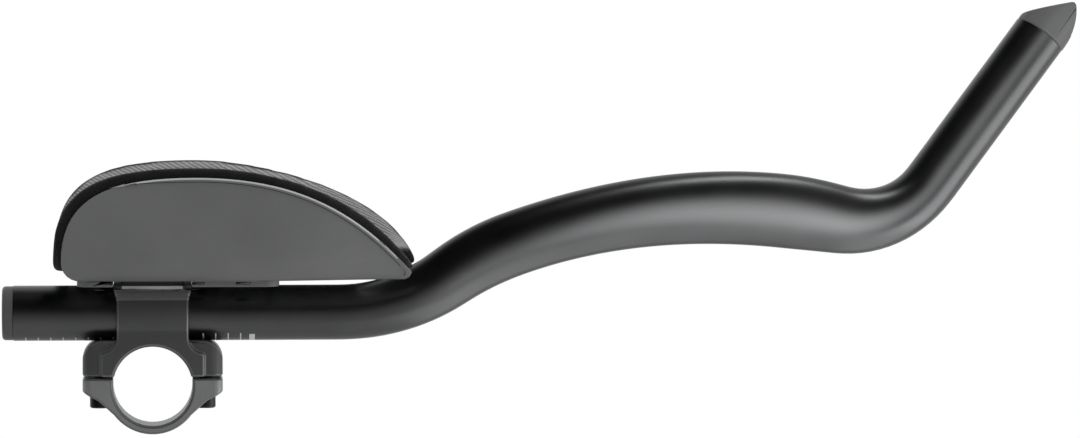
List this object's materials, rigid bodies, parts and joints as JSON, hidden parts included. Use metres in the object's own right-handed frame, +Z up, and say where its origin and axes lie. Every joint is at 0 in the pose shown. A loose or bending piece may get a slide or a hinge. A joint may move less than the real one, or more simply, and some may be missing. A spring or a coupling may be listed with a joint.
{
  "type": "clip-on aero handlebar extension with clamp bracket and padded armrest",
  "caption": "Bent extension bar that clamps on a bicycle's handlebar, with a bracket below it and a padded trough above for the forearm.",
  "frame": {"origin": "centre of the handlebar clamp's bore", "axes": "+X forward along the extension, +Y inboard along the handlebar, +Z up"},
  "size_m": [0.4366, 0.0948, 0.1724],
  "materials": {
    "black_tube": "satin black anodised",
    "black_bracket": "satin black anodised over a fine blasted surface",
    "black_moulding": "matte black moulding",
    "black_screw": "black oxide",
    "plain_washer": "plain",
    "hook_tape": "dense black hook tape",
    "woven_pad": "ribbed black weave over foam"
  },
  "bodies": {
    "root": {"extension_bar": "black_tube", "rear_plug": "black_moulding", "tip_plug": "black_moulding", "bracket_body": "black_bracket", "clamp_cap": "black_bracket", "clamp_bolt_rear": "black_screw", "clamp_bolt_front": "black_screw", "pinch_bolt": "black_screw", "armrest_shell": "black_moulding", "armrest_bolt_outboard": "black_screw", "armrest_bolt_inboard": "black_screw", "washer_outboard": "plain_washer", "washer_inboard": "plain_washer", "hook_floor_rear": "hook_tape", "hook_floor_front": "hook_tape", "hook_wall_outboard": "hook_tape", "hook_wall_inboard": "hook_tape", "armrest_pad": "woven_pad"}
  },
  "joints": []
}
